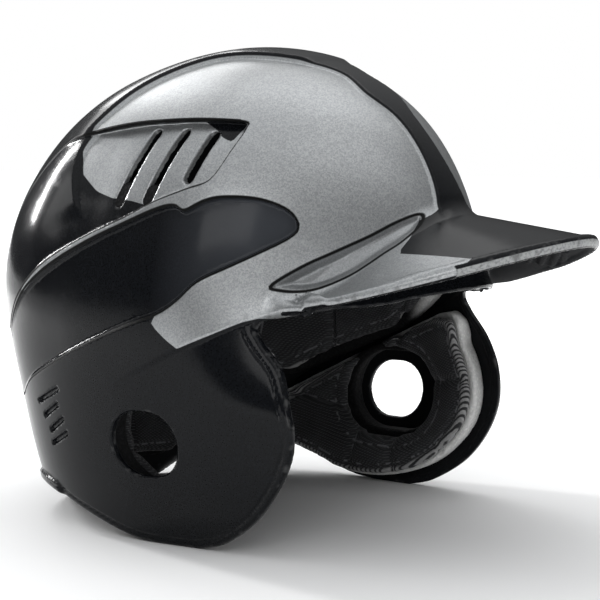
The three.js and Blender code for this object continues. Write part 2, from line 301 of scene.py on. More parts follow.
def relaxed(points, quads, share=0.5):
    """Every point moved part of the way to the middle of its neighbours."""
    total = np.zeros_like(points)
    count = np.zeros(len(points))
    for k in range(4):
        a, b = quads[:, k], quads[:, (k + 1) % 4]
        for here, there in ((a, b), (b, a)):
            for axis in range(3):
                total[:, axis] += np.bincount(here, points[there, axis], len(points))
            count += np.bincount(here, minlength=len(points))
    return points + share * (total / np.maximum(count, 1)[:, None] - points)


def largest_island(points, quads):
    """The mesh without its crumbs: only the island with the most quads is kept."""
    island = np.arange(len(points))
    while True:
        lowest = island[quads].min(axis=1)
        merged = island.copy()
        for k in range(4):
            np.minimum.at(merged, quads[:, k], lowest)
        merged = merged[merged]
        if (merged == island).all():
            break
        island = merged
    home = island[quads[:, 0]]
    kept = quads[home == np.bincount(home).argmax()]
    used = np.unique(kept)
    renumbered = np.zeros(len(points), int)
    renumbered[used] = np.arange(len(used))
    return points[used], renumbered[kept]


def mesh_field(field, near, low, high, voxel):
    """Quads of field = 0. near(x, y, z) says where the field is worth working out."""
    low, high = np.array(low, float), np.array(high, float)
    counts = np.ceil((high - low) / voxel).astype(int) + 1
    far_value = 3 * voxel
    values = np.full(counts, far_value, np.float32)
    rulers = [low[k] + voxel * np.arange(counts[k]) for k in range(3)]
    y, z = np.meshgrid(rulers[1], rulers[2], indexing="ij")
    for i, x in enumerate(rulers[0]):
        mask = near(np.full(y.shape, x), y, z)
        if mask.any():
            values[i][mask] = field(np.full(mask.sum(), x), y[mask], z[mask])
    grid = openvdb.FloatGrid(far_value)
    grid.copyFromArray(np.clip(values, -far_value, far_value))
    points, quads = grid.convertToQuads(0.0)
    points, quads = largest_island(low + voxel * np.asarray(points, float), np.asarray(quads))
    for _ in range(2):
        points = pull_to_surface(field, points, 0.6 * voxel, 1)
        points = relaxed(points, quads)
    return pull_to_surface(field, points, 0.6 * voxel), quads


# ---- Shell: sculpted heights -------------------------------------------------------------------

VENT_PANEL = [
    (80, 168), (64, 173.5), (39, 177.5), (17, 179), (0, 179.3), (-15, 178.6), (-17.5, 176),
    (-16, 166), (-12.5, 155), (-4, 151), (10, 145.5), (24, 138.5), (46, 129.5), (73, 116.5),
    (93, 102), (112, 85), (124, 110), (106, 145),
]
TEARDROP = [
    (7, 143), (-1, 144.5), (-6, 142.5), (-13, 146.5), (-20, 148), (-31, 147), (-40, 142.5),
    (-44, 136), (-42, 131), (-33, 124.5), (-25, 119.5), (-15, 113.5), (-8, 106), (1, 100),
    (19, 93.5), (47, 82), (82, 66.5), (102, 56), (110, 76), (93, 99.5), (73, 113.6),
    (46, 126.8), (24, 136),
]
TEMPLE_SCOOP = [
    (-39, 112), (-47, 119.5), (-55, 125), (-64, 131.5), (-70, 137), (-75, 140), (-77, 135),
    (-75, 129), (-71, 124.5), (-67, 120), (-62, 115.5), (-54, 111), (-48, 109.5), (-42, 110),
]
FLAP_CREASE = [(-46, 103), (-32, 98), (-22, 93), (-9, 87), (7, 79), (24, 71)]
LOUVRES = [((76, 57), (60, 64)), ((72, 51), (61, 57)), ((68, 45), (58, 51)), ((68, 39), (56, 45))]
VENT_SLOTS = [((25, 173), (31, 145)), ((10, 173), (16, 146)), ((-4, 172), (-1, 155))]
VENT_SLOT_WIDTH = 4.5
EAR_HOLE = dict(y=11.0, z=45.0, half_length=16.5, half_height=14.0)

PANEL_DEPTH = 4.0
TEARDROP_DEPTH = 3.0
SCOOP_DEPTH = 3.2
FLAP_STEP = 1.2
LOUVRE_DEPTH = 1.6
RIM_GROOVE_DEPTH = 0.5
REAR_LIP_HEIGHT = 1.6
ARC_OF_TWO_DEGREES = 3.7
SPINE_HEIGHT = 1.8
SPINE_CREST = 1.2

# Half width of the black centre stripe by the angle from the crown towards the back.
STRIPE = [
    (-74, 16), (-68.5, 12), (-60, 8.5), (-50, 7), (-43, 8.5), (-36, 12.5), (-28, 10), (-22, 14),
    (-14, 20), (-3, 23), (5, 28), (11, 39), (18.5, 54), (26, 67), (33, 75), (42, 92),
]


def band(distance, half_width, soft):
    """1 within a distance of a line, falling to 0 over a soft edge."""
    return ramp(distance, half_width + soft / 2, half_width - soft / 2)


def rounded_area(view, points):
    return area_distance(view, smooth_curve(points, closed=True, steps=5))


def rim_distance(view):
    rear = smooth_curve(RIM_REAR)
    front = smooth_curve(RIM_FRONT)
    box = [(-400, 116), (-400, 400), (400, 400), (400, 0)]
    return area_distance(view, np.vstack([rear, front, box]))


def outline_view(points):
    return side_map(lambda view: rounded_area(view, points))


rim_view = side_map(rim_distance)
outline_views = {
    "panel": outline_view(VENT_PANEL), "teardrop": outline_view(TEARDROP),
    "scoop": outline_view(TEMPLE_SCOOP),
}


def side_height(view):
    """Height of the side's sculpting above the plain dome, in side view."""
    y = view.u
    height = np.zeros(view.shape)
    panel = outline_views["panel"].value
    height -= PANEL_DEPTH * ramp(panel, 0.3, -1.5) * ramp(y, 84, 40)
    drop = outline_views["teardrop"].value
    height -= TEARDROP_DEPTH * ramp(drop, 0.4, -2.2) * ramp(y, 108, 60)
    scoop = outline_views["scoop"].value
    height -= SCOOP_DEPTH * ramp(scoop, 0.2, -3.2)
    crease = smooth_curve(FLAP_CREASE)
    beyond = np.vstack([crease, [(60, 58), (200, 0), (200, -60), (-200, -60), (-200, 103)]])
    below = area_distance(view, beyond)
    height -= FLAP_STEP * ramp(below, 0.2, -2.0) * ramp(y, 26, -8)
    for start, end in LOUVRES:
        louvre = line_distance(view, np.array([start, end], float))
        height -= LOUVRE_DEPTH * band(louvre, 0.9, 1.0)
    rim = rim_view.value
    groove = band(np.abs(rim + 3.2), 0.5, 1.0)
    height -= RIM_GROOVE_DEPTH * groove * ramp(view.v, 100, 88)
    height += REAR_LIP_HEIGHT * ramp(rim, -5.0, -4.0) * ramp(y, 68, 72)
    return height


def openings(view):
    """Distance outside every hole that goes through the side."""
    reach = EAR_HOLE["half_height"]
    stretch = EAR_HOLE["half_length"] - reach
    start = (EAR_HOLE["y"] - stretch, EAR_HOLE["z"])
    end = (EAR_HOLE["y"] + stretch, EAR_HOLE["z"])
    ear_hole = line_distance(view, np.array([start, end])) - reach
    return np.minimum(ear_hole, nearest_line(view, VENT_SLOTS) - VENT_SLOT_WIDTH / 2)


height_view = side_map(side_height)
opening_view = side_map(openings)
stripe_width = natural_spline(STRIPE)


def stripe_distance(x, y, z):
    """Signed distance to the edge of the centre stripe, negative on the stripe."""
    angle = np.degrees(np.arctan2(y - CENTRE[1], z - CENTRE[2]))
    lean = (stripe_width(angle + 1) - stripe_width(angle - 1)) / ARC_OF_TWO_DEGREES
    return (np.abs(x) - stripe_width(angle)) / np.sqrt(1 + lean ** 2)


def sculpted_height(x, y, z):
    height = height_view.read(y, z)
    angle = np.degrees(np.arctan2(y - CENTRE[1], z - CENTRE[2]))
    spine = SPINE_HEIGHT + SPINE_CREST * ramp(angle, -21, -17) * ramp(angle, 40, 10)
    spine = spine * ramp(angle, 62, 28) * ramp(angle, -76, -66)
    return height + spine * ramp(stripe_distance(x, y, z), 1.2, -1.2)


# ---- Shell: bill -------------------------------------------------------------------------------

BILL_THICKNESS = 3.9
BILL_ROOT = dict(half_width=68.0, y=-40.0, reach=34.0, z=141.0, drop=43.0, span=75.0)
BILL_EDGE = dict(half_width=79.0, y=-50.8, reach=90.7, point=1.5, z=131.3, arch=19.0, sweep=7.0)
BILL_RIB_HEIGHT = 1.0
BILL_BEAD_HEIGHT = 0.7
BILL_RIBS = [
    ((48, -82), (39, -91)), ((50.7, -87.2), (39.2, -97.6)), ((52.8, -92.7), (38.5, -103.3)),
    ((55.4, -97.3), (36.1, -110.6)), ((56.5, -101.9), (36.9, -113.3)),
]


def bill_root(swing):
    part = BILL_ROOT
    x = part["half_width"] * np.sin(swing)
    fall = part["drop"] * (1 - np.cos(x / part["span"] * math.pi / 2))
    return x, part["y"] - part["reach"] * np.cos(swing), part["z"] - fall


def bill_edge(swing):
    part = BILL_EDGE
    forward = np.maximum(0, np.cos(swing)) ** part["point"]
    fall = part["sweep"] * (1 - forward) + part["arch"] * np.sin(swing) ** 2
    x = part["half_width"] * np.sin(swing)
    return x, part["y"] - part["reach"] * forward, part["z"] - fall


def bill_heights(view):
    """Height of the bill's upper surface over the plan."""
    along = np.full(view.shape, 0.5)
    for _ in range(12):
        width = BILL_ROOT["half_width"] * (1 - along) + BILL_EDGE["half_width"] * along
        swing = np.arcsin(np.clip(view.u / width, -1, 1))
        root, edge = bill_root(swing), bill_edge(swing)
        span = np.minimum(edge[1] - root[1], -6)
        along = np.clip(0.4 * along + 0.6 * (view.v - root[1]) / span, -0.5, 1.15)
    return root[2] * (1 - along) + edge[2] * along


def plan_map(value_of):
    view = ViewMap(PLAN_LOW, PLAN_HIGH)
    view.value = value_of(view)
    return view


def bill_outline(view):
    swing = np.radians(np.linspace(-90, 90, 91))
    edge = np.stack(bill_edge(swing)[:2], axis=1)
    back = [(79.3, -46), (78.5, -38), (66, -20), (-66, -20), (-78.5, -38), (-79.3, -46)]
    return area_distance(view, np.vstack([edge, back]))


def bill_ribs(view):
    both_sides = [np.array(rib) * (side, 1) for rib in BILL_RIBS for side in (-1, 1)]
    across = ramp(nearest_line(view, both_sides), 1.9, 0.7)
    return BILL_RIB_HEIGHT * across * ramp(bill_view.value, -2.5, -6)


bill_top = plan_map(bill_heights)
bill_view = plan_map(bill_outline)
rib_view = plan_map(bill_ribs)


def bill_distance(x, y, z):
    reach = 1.0
    top = bill_top.read(x, y)
    slope_x = (bill_top.read(x + reach, y) - bill_top.read(x - reach, y)) / (2 * reach)
    slope_y = (bill_top.read(x, y + reach) - bill_top.read(x, y - reach)) / (2 * reach)
    upright = (z - top + BILL_THICKNESS / 2) / np.sqrt(1 + slope_x ** 2 + slope_y ** 2)
    edge = bill_view.read(x, y)
    bead = BILL_BEAD_HEIGHT * band(np.abs(edge + 2.4), 1.6, 1.6) * ramp(np.abs(x), 66, 54)
    lower = -upright - rib_view.read(x, y)
    return round_max(np.maximum(upright, lower) - BILL_THICKNESS / 2 - bead, edge, 1.6)


# ---- Shell: whole ------------------------------------------------------------------------------

RIM_ROUNDING = 1.2
BILL_FILLET = 5.5
INNER_ROUNDING = 1.0
OPENING_ROUNDING = 0.9


def inner_distance(distance, y, z):
    """Distance outside the shell's inner surface, which follows the sunken panels inwards."""
    return distance + SHELL_THICKNESS + np.maximum(0, -height_view.read(y, z))


def shell_field(x, y, z):
    distance = dome_distance(x, y, z)
    outside = distance - sculpted_height(x, y, z)
    dome = round_max(outside, rim_view.read(y, z), RIM_ROUNDING)
    bill = bill_distance(x, y, z)
    solid = np.where(bill < 40, round_min(dome, bill, BILL_FILLET), dome)
    shell = round_max(solid, -inner_distance(distance, y, z), INNER_ROUNDING)
    return round_max(shell, -opening_view.read(y, z), OPENING_ROUNDING)


def near_shell(x, y, z):
    level = dome_level(x, y, z)
    rim = rim_view.read(y, z)
    margin = 4.0
    on_dome = (level > -SHELL_THICKNESS - 6 - margin) & (level < margin + 3) & (rim < margin)
    edge = bill_view.read(x, y)
    top = bill_top.read(x, y)
    on_bill = (edge < margin) & (z < top + margin + 4) & (z > top - BILL_THICKNESS - margin - 3)
    return on_dome | on_bill


# ---- Shell: paint ------------------------------------------------------------------------------

SILVER_SIDE = [
    (66, 230), (66, 176), (64.5, 167), (58, 156), (46, 149), (36, 146.5), (24, 145.5),
    (15, 143.8), (26, 138.4), (46, 129.3), (73, 116.3), (93, 102), (106, 91), (93, 99.8),
    (73, 113.9), (46, 127.1),
    (24, 136.3), (7, 143.2), (-1, 144.7), (-6, 142.7), (-13, 146.7), (-20, 148.2),
    (-31, 147.2), (-40, 142.7), (-44.2, 136), (-42, 130.8), (-33, 124.3), (-25, 119.3),
    (-15, 113.3), (-8, 105.8), (1, 99.8), (3, 96), (-4, 90), (-9, 86.5),
    (-22, 92.5), (-32, 97.5), (-37, 99), (-45, 98), (-160, 95), (-160, 120), (-76, 121.5),
    (-76.5, 130), (-77, 136), (-78.5, 143), (-160, 150), (-160, 230),
]
SILVER_BILL = [
    (22, -60), (22, -75), (29, -76.2), (34, -77.3), (44, -77.5), (44.5, -113), (90, -113),
    (90, -30), (40, -30),
]
STRIP_HALF_WIDTH = 52.0
# Painted shadow: a black band along the vent panel's top edge, where its overhang shades the
# panel, widening to a wedge at its front end.
PANEL_TOP_SHADOW = [(80, 168), (64, 173.5), (39, 177.5), (17, 179), (0, 179.3), (-14, 178.6)]
PANEL_FRONT_SHADOW_WEDGE = [(3, 178.5), (-15, 178.3), (-12.5, 170), (-8, 172), (-4, 175)]


def silver_distance(view):
    silver = -area_distance(view, np.array(SILVER_SIDE, float))
    # The band and the wedge are painted shadow, taken out of the silver.
    silver = np.minimum(silver, line_distance(view, smooth_curve(PANEL_TOP_SHADOW)) - 1.0)
    return np.minimum(silver, area_distance(view, np.array(PANEL_FRONT_SHADOW_WEDGE, float)))


silver_side = side_map(silver_distance)
silver_bill = ViewMap((0, PLAN_LOW[1]), PLAN_HIGH)
silver_bill.value = -area_distance(silver_bill, np.array(SILVER_BILL, float))


def paint_distance(x, y, z):
    """Signed distance to the edge of the silver paint, positive on silver; the black includes a
    painted shadow along the vent panel's top edge.
    """
    distance = dome_distance(x, y, z)
    bill = bill_distance(x, y, z)
    on_dome = np.minimum(stripe_distance(x, y, z), silver_side.read(y, z))
    on_dome = np.where(distance < -7.5, -5.0, on_dome)
    below_top = bill_top.read(x, y) - z
    inset = -bill_view.read(x, y)
    on_dome = np.minimum(on_dome, np.maximum(1.5 - below_top, 3 - inset))
    clear = np.maximum(inset - 1.1, np.abs(x) - STRIP_HALF_WIDTH)
    on_bill = np.minimum(silver_bill.read(np.abs(x), y), np.minimum(clear, 3.0 - below_top))
    paint = np.where(bill < distance - sculpted_height(x, y, z), on_bill, on_dome)
    inside = inner_distance(distance, y, z) < 1.2
    return np.where(inside, np.minimum(paint, -2.0), paint)


def rim_strip_distance(x, y, z):
    """Positive on the light strip round the bill's rim: a lighter rim band that is partly a
    painted highlight along the rolled edge.
    """
    below_top = bill_top.read(x, y) - z
    strip = np.minimum(bill_view.read(x, y) + 1.6, np.minimum(below_top - 0.7, 3.7 - below_top))
    strip = np.minimum(strip, STRIP_HALF_WIDTH - np.abs(x))
    on_bill = bill_distance(x, y, z) < dome_distance(x, y, z) - 1
    return np.where(on_bill, strip, -3.0)


# ---- Pieces ------------------------------------------------------------------------------------


SHELL_REGION = ((-112, -152, -6), (112, 150, 218))
SHELL_VOXEL = 1.1
SHELL_TRIANGLES = 170000


def make_piece(name, points, faces):
    mesh = bpy.data.meshes.new(name)
    mesh.from_pydata((points * MM).tolist(), [], faces.tolist())
    mesh.update()
    piece = bpy.data.objects.new(name, mesh)
    bpy.context.scene.collection.objects.link(piece)
    return piece


def points_of(mesh):
    flat = np.empty(3 * len(mesh.vertices))
    mesh.vertices.foreach_get("co", flat)
    return flat.reshape(-1, 3) / MM


def set_points(mesh, points):
    mesh.vertices.foreach_set("co", (points * MM).ravel())
    mesh.update()


def apply_modifiers(piece):
    """Replace a piece's mesh with what its modifiers make of it."""
    graph = bpy.context.evaluated_depsgraph_get()
    mesh = bpy.data.meshes.new_from_object(piece.evaluated_get(graph))
    piece.modifiers.clear()
    piece.data = mesh
    return mesh


def store(mesh, name, values):
    mesh.attributes.new(name, "FLOAT", "POINT").data.foreach_set("value", values)


def smooth(mesh):
    mesh.polygons.foreach_set("use_smooth", np.ones(len(mesh.polygons), bool))


def finish_shell(points, quads):
    piece = make_piece("helmet_shell", points, quads)
    decimate = piece.modifiers.new("decimate", "DECIMATE")
    decimate.ratio = min(1.0, SHELL_TRIANGLES / (2 * len(quads)))
    mesh = apply_modifiers(piece)
    points = pull_to_surface(shell_field, points_of(mesh), 0.3, 1)
    set_points(mesh, points)
    normals = field_and_gradient(shell_field, points)[1]
    normals /= np.maximum(np.linalg.norm(normals, axis=1, keepdims=True), 1e-9)
    smooth(mesh)
    mesh.normals_split_custom_set_from_vertices(normals.tolist())
    x, y, z = points.T
    store(mesh, "paint", paint_distance(x, y, z))
    under = (bill_distance(x, y, z) < 0.6) & (bill_top.read(x, y) - z > 2.8)
    under &= bill_view.read(x, y) < -1.4
    depth = sculpted_height(x, y, z) - dome_distance(x, y, z)
    store(mesh, "depth", np.where(under, 5.0, depth))
    store(mesh, "strip", rim_strip_distance(x, y, z))
    for name, view in outline_views.items():
        store(mesh, name, view.read(y, z))
    edge = np.maximum(rim_view.read(y, z), -opening_view.read(y, z))
    on_bill = bill_distance(x, y, z) < 0.5
    store(mesh, "edge", np.where(on_bill & (y < -60), bill_view.read(x, y), edge))
    return piece


# ---- Liner -------------------------------------------------------------------------------------

FOAM_DEPTH = 4.4
FOAM_THICKNESS = 9.0
LAYER_GAP = 0.4
HEAD_PAD_THICKNESS = 7.0
JAW_PAD_THICKNESS = 7.5
PAD_SWELL = 1.3
CLOTH_STEPS = 20
MAP_MARGIN = 14
MESH_MARGIN = 5
PAD_VOXEL = 2.9
FOAM_VOXEL = 2.2
HOLED_FOAM_VOXEL = 1.7
SEAM_DEPTH = 2.0
SEAM_WIDTH = 2.0
STITCH_INSET = 5.0
STITCH_DEPTH = 0.7
STITCH_WIDTH = 1.1
WRONG_SIDE = 20.0
EAR_PAD_HOLE = dict(y=5.0, z=46.0, half_length=25.0, half_height=19.0)

# Each outline is drawn in front view (x, z), plan (x, y) or side view (y, z).
LINER = {
    "brow": dict(
        view="front", way=-1, rounding=10, seams=[[(0, 108), (0, 150)]],
        corners=[(-40, 114), (0, 110), (40, 114), (35, 147), (-35, 147)]),
    "crown": dict(
        view="plan", way=1, rounding=16, seams=[[(-44, 26), (44, 26)], [(0, -26), (0, 80)]],
        corners=[(-38, -24), (38, -24), (42, 30), (34, 78), (-34, 78), (-42, 30)]),
    "rear": dict(
        view="front", way=1, rounding=12, seams=[[(-19, 60), (-17, 156)], [(19, 60), (17, 156)]],
        corners=[(-50, 66), (50, 66), (50, 120), (40, 152), (-40, 152), (-50, 120)]),
    "nape": dict(
        view="front", way=1, rounding=8, seams=[[(0, 8), (0, 62)]],
        corners=[(-46, 19), (-26, 12), (26, 12), (46, 19), (46, 58), (-46, 58)]),
    "side": dict(
        view="side", rounding=10, seams=[[(6, 154), (0, 78)], [(46, 158), (40, 58)]],
        corners=[(-44, 114), (4, 76.5), (70, 47.5), (86, 63), (86, 132), (40, 154), (-30, 150)]),
    "jaw": dict(
        view="side", rounding=6, hole=EAR_PAD_HOLE,
        seams=[[(72, 44), (37, 39), (18, 35)], [(19, 34), (21, 10)], [(0, 33), (-4, 2)],
               [(-22, 54), (-56, 58)], [(6, 66), (-8, 92)]],
        corners=[(-24, 88), (-38, 73), (-46, 51), (-41, 31), (-22, 12.5), (2, 4.5), (26, 4.5),
                 (48, 11.5), (70, 19.5), (70, 41)]),
}


def inset(corners, by):
    """A polygon with every side moved inwards."""
    pts = np.array(corners, float)
    area = sum(a[0] * b[1] - b[0] * a[1] for a, b in zip(pts, np.roll(pts, -1, axis=0)))
    sides = np.roll(pts, -1, axis=0) - pts
    sides /= np.linalg.norm(sides, axis=1, keepdims=True)
    inwards = np.stack([-sides[:, 1], sides[:, 0]], axis=1) * (1 if area > 0 else -1)
    moved = []
    for i in range(len(pts)):
        before, after = inwards[i - 1], inwards[i]
        moved.append(pts[i] + by * (before + after) / (1 + before @ after))
    return np.array(moved), inwards


def pulled_outline(corners, rounding, pull):
    """A rounded polygon's core, whose sides pull in between the corners."""
    core, inwards = inset(corners, rounding)
    if len(core) > 8:
        return smooth_curve(core, closed=True, steps=5)
    t = np.linspace(0, 1, 9)[:-1, None]
    sides = []
    for i, start in enumerate(core):
        end = core[(i + 1) % len(core)]
        sides.append(start + (end - start) * t + inwards[i] * pull * 4 * t * (1 - t))
    return np.vstack(sides)


def hole_distance(hole, y, z):
    """Distance outside a hole with rounded ends, at places in side view."""
    stretch = hole["half_length"] - hole["half_height"]
    beyond = np.maximum(np.abs(y - hole["y"]) - stretch, 0)
    return np.hypot(beyond, z - hole["z"]) - hole["half_height"]


def outline_map(part, shrink, pull):
    corners = np.array(part["corners"], float)
    view = ViewMap(corners.min(axis=0) - MAP_MARGIN, corners.max(axis=0) + MAP_MARGIN)
    core = pulled_outline(part["corners"], part["rounding"], pull)
    view.value = area_distance(view, core) - part["rounding"] + shrink
    if "hole" in part:
        view.value = np.maximum(view.value, shrink - hole_distance(part["hole"], view.u, view.v))
    return view


def seam_map(part):
    corners = np.array(part["corners"], float)
    view = ViewMap(corners.min(axis=0) - MAP_MARGIN, corners.max(axis=0) + MAP_MARGIN)
    view.value = nearest_line(view, part["seams"])
    return view


def flat_reader(part, way):
    """How to read a view's map at a place, and how far that place is on the wrong side."""
    if part["view"] == "side":
        return lambda view, x, y, z: np.where(x * way > 20, view.read(y, z), WRONG_SIDE)
    if part["view"] == "front":
        middle = way * CENTRE[1]
        return lambda view, x, y, z: np.where(y * way > middle, view.read(x, z), WRONG_SIDE)
    return lambda view, x, y, z: np.where(z > 150, view.read(x, y), WRONG_SIDE)


def block_field(read, outline, near, thickness, edge_share, crown_width, rounding):
    """A block between two depths under the dome, thinner towards its outline."""

    def field(x, y, z):
        depth = -dome_distance(x, y, z)
        edge = read(outline, x, y, z)
        rise = np.clip(-edge / crown_width, 0, 1)
        crown = np.sqrt(1 - (1 - rise) ** 2)
        far = near + thickness * (edge_share + (1 - edge_share) * crown)
        return round_max(np.maximum(near - depth, depth - far), edge, rounding)

    def close(x, y, z):
        level = dome_level(x, y, z)
        reach = near + thickness
        return (level < 5 - near) & (level > -1.3 * reach - 6) & (read(outline, x, y, z) < 6)

    return field, close


def inflate(piece, cap):
    """Swell a closed piece with cloth pressure, moving no point further than the cap."""
    before = points_of(piece.data)
    cloth = piece.modifiers.new("cloth", "CLOTH")
    settings = cloth.settings
    settings.quality = 4
    settings.mass = 0.2
    settings.tension_stiffness = 12
    settings.compression_stiffness = 12
    settings.bending_stiffness = 2.5
    settings.use_pressure = True
    settings.uniform_pressure_force = 4
    settings.effector_weights.gravity = 0
    scene = bpy.context.scene
    cloth.point_cache.frame_start = 1
    cloth.point_cache.frame_end = CLOTH_STEPS
    for step in range(1, CLOTH_STEPS + 1):
        scene.frame_set(step)
    mesh = apply_modifiers(piece)
    scene.frame_set(1)
    after = points_of(mesh)
    if not np.isfinite(after).all():
        after = before
    move = after - before
    length = np.linalg.norm(move, axis=1, keepdims=True)
    set_points(mesh, before + move * np.minimum(1, cap / np.maximum(length, 1e-9)))


def vertex_normals(mesh):
    flat = np.empty(3 * len(mesh.vertices))
    mesh.vertices.foreach_get("normal", flat)
    return flat.reshape(-1, 3)


def make_foam(name, part, way, node):
    read = flat_reader(part, way)
    outline = outline_map(part, 0.3, 0.2)
    field, close = block_field(read, outline, FOAM_DEPTH, FOAM_THICKNESS, 1.0, 10, 1.6)
    low, high = (np.array(corner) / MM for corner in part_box(node))
    voxel = HOLED_FOAM_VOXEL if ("hole" in part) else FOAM_VOXEL
    points, quads = mesh_field(field, close, low - MESH_MARGIN, high + MESH_MARGIN, voxel)
    piece = make_piece(name, points, quads)
    smooth(piece.data)
    x, y, z = points.T
    # Painted shade: the foam is near-black except along its visible edges, with a dark ring round
    # the ear hole, so the ear holes and vent slots look as dark as the shaded inside; 'light'
    # marks the pale edge.
    if "hole" in part:
        light = ramp(-read(outline, x, y, z), 22, 16) * (hole_distance(part["hole"], y, z) > 0)
        light = light * ramp(hole_distance(part["hole"], y, z), 5, 9)
    else:
        light = ramp(y, 0, -12) * (part["view"] == "side")
    store(piece.data, "light", light)
    piece.data.materials.append(MATERIALS["foam"])
    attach(piece, "root")
    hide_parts(node)


def make_pad(name, part, way, node, thickness):
    read = flat_reader(part, way)
    outline = outline_map(part, 1.6, 1.6)
    near = FOAM_DEPTH + FOAM_THICKNESS + LAYER_GAP
    field, close = block_field(read, outline, near + 0.4, thickness - 1.5, 0.6, 14, 1.8)
    low, high = (np.array(corner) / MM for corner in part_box(node))
    points, quads = mesh_field(
        field, close, low - MESH_MARGIN, high + MESH_MARGIN, PAD_VOXEL)
    piece = make_piece(name, points, quads)
    inflate(piece, PAD_SWELL)
    subdivide = piece.modifiers.new("subdivide", "SUBSURF")
    subdivide.levels = 1
    subdivide.render_levels = 1
    mesh = apply_modifiers(piece)
    points = points_of(mesh)
    x, y, z = points.T
    depth = -dome_distance(x, y, z)
    seam = read(seam_map(part), x, y, z)
    edge = -read(outline, x, y, z)
    face = ramp(depth - near, 1.5, thickness * 0.55)
    groove = SEAM_DEPTH * np.exp(-(seam / SEAM_WIDTH) ** 2)
    groove += STITCH_DEPTH * np.exp(-((edge - STITCH_INSET) / STITCH_WIDTH) ** 2)
    limit = np.maximum(0, near + 0.3 - depth)
    points = points - vertex_normals(mesh) * (groove * face)[:, None]
    outwards = points - CENTRE
    outwards /= np.linalg.norm(outwards, axis=1, keepdims=True)
    set_points(mesh, points - outwards * limit[:, None])
    store(mesh, "seam", seam)
    store(mesh, "inset", edge)
    height = depth - near
    if "hole" in part:
        trim = np.minimum(5.2 - height, hole_distance(part["hole"], y, z) - 6)
    else:
        trim = np.minimum(0.9 - np.abs(height - 2.2), -3 * vertex_normals(mesh)[:, 2] - 0.6)
    store(mesh, "trim", trim)
    smooth(mesh)
    mesh.materials.append(MATERIALS["fabric"])
    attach(piece, "root")
    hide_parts(node)


# ---- Materials ---------------------------------------------------------------------------------


class Material:
    """A node material: add() makes a node, and its inputs are numbers, colours or other nodes."""

    def __init__(self, name):
        self.material = bpy.data.materials.new(name)
        self.material.use_nodes = True
        self.tree = self.material.node_tree
        self.shader = self.tree.nodes["Principled BSDF"]
        self.place = self.add("ShaderNodeTexCoord").outputs["Object"]

    def connect(self, node, inputs):
        for key, value in inputs.items():
            socket = node.inputs[key]
            if isinstance(value, bpy.types.NodeSocket):
                self.tree.links.new(value, socket)
            elif socket.type == "RGBA":
                socket.default_value = (*value, 1)
            else:
                socket.default_value = value

    def add(self, kind, inputs=None, **settings):
        node = self.tree.nodes.new(kind)
        for key, value in settings.items():
            setattr(node, key, value)
        self.connect(node, inputs or {})
        return node

    def attribute(self, name):
        return self.add("ShaderNodeAttribute", attribute_name=name).outputs["Fac"]

    def noise(self, scale, detail=3.0):
        inputs = {"Vector": self.place, "Scale": scale, "Detail": detail}
        return self.add("ShaderNodeTexNoise", inputs).outputs["Fac"]

    def cells(self, scale, output="Distance"):
        inputs = {"Vector": self.place, "Scale": scale}
        return self.add("ShaderNodeTexVoronoi", inputs).outputs[output]

    def remap(self, value, low, high, new_low=0.0, new_high=1.0):
        inputs = {
            "Value": value, "From Min": low, "From Max": high, "To Min": new_low,
            "To Max": new_high,
        }
        return self.add("ShaderNodeMapRange", inputs).outputs["Result"]

    def math(self, operation, a, b):
        return self.add("ShaderNodeMath", {0: a, 1: b}, operation=operation).outputs["Value"]

    def colour(self, share, low, high):
        node = self.add("ShaderNodeMix", data_type="RGBA")
        self.connect(node, {0: share, 6: low, 7: high})
        return node.outputs[2]

    def blend(self, share, low, high):
        node = self.add("ShaderNodeMix")
        self.connect(node, {0: share, 2: low, 3: high})
        return node.outputs[0]

    def bump(self, height, strength, distance, normal=None):
        inputs = {"Height": height, "Strength": strength, "Distance": distance}
        if normal is not None:
            inputs["Normal"] = normal
        return self.add("ShaderNodeBump", inputs).outputs["Normal"]

    def surface(self, **inputs):
        self.connect(self.shader, {key.replace("_", " "): v for key, v in inputs.items()})
        return self.material


